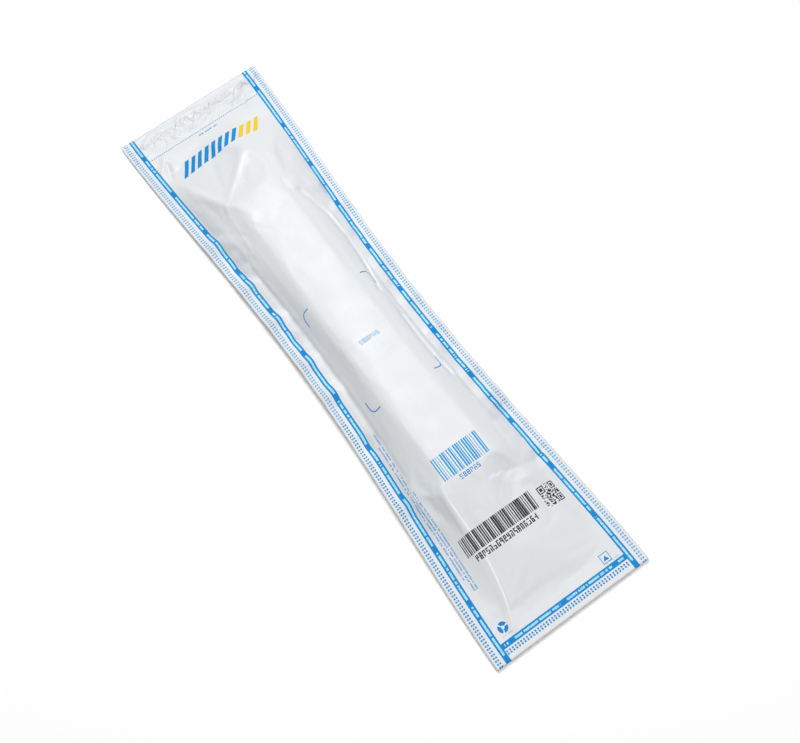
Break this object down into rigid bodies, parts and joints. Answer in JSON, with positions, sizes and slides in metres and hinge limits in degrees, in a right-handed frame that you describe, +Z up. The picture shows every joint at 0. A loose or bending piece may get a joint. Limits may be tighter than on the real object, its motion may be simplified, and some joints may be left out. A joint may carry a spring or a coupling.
{
  "type": "poly mailer bag",
  "caption": "Long narrow sealed poly mailer, lying flat with a slim boxy filling: printed side bands, sealed seams, glued flap at one end.",
  "frame": {"origin": "middle of the bag's box, on the surface that the bag lies on", "axes": "+X across the bag to the right of the print, +Y along the bag towards its glued closure, +Z up, out of the printed face"},
  "size_m": [0.152, 0.6, 0.0295],
  "materials": {
    "white_film": "semi-gloss white polyethylene film with bright blue and black print"
  },
  "bodies": {
    "root": {"mailer_bag": "white_film"}
  },
  "joints": []
}
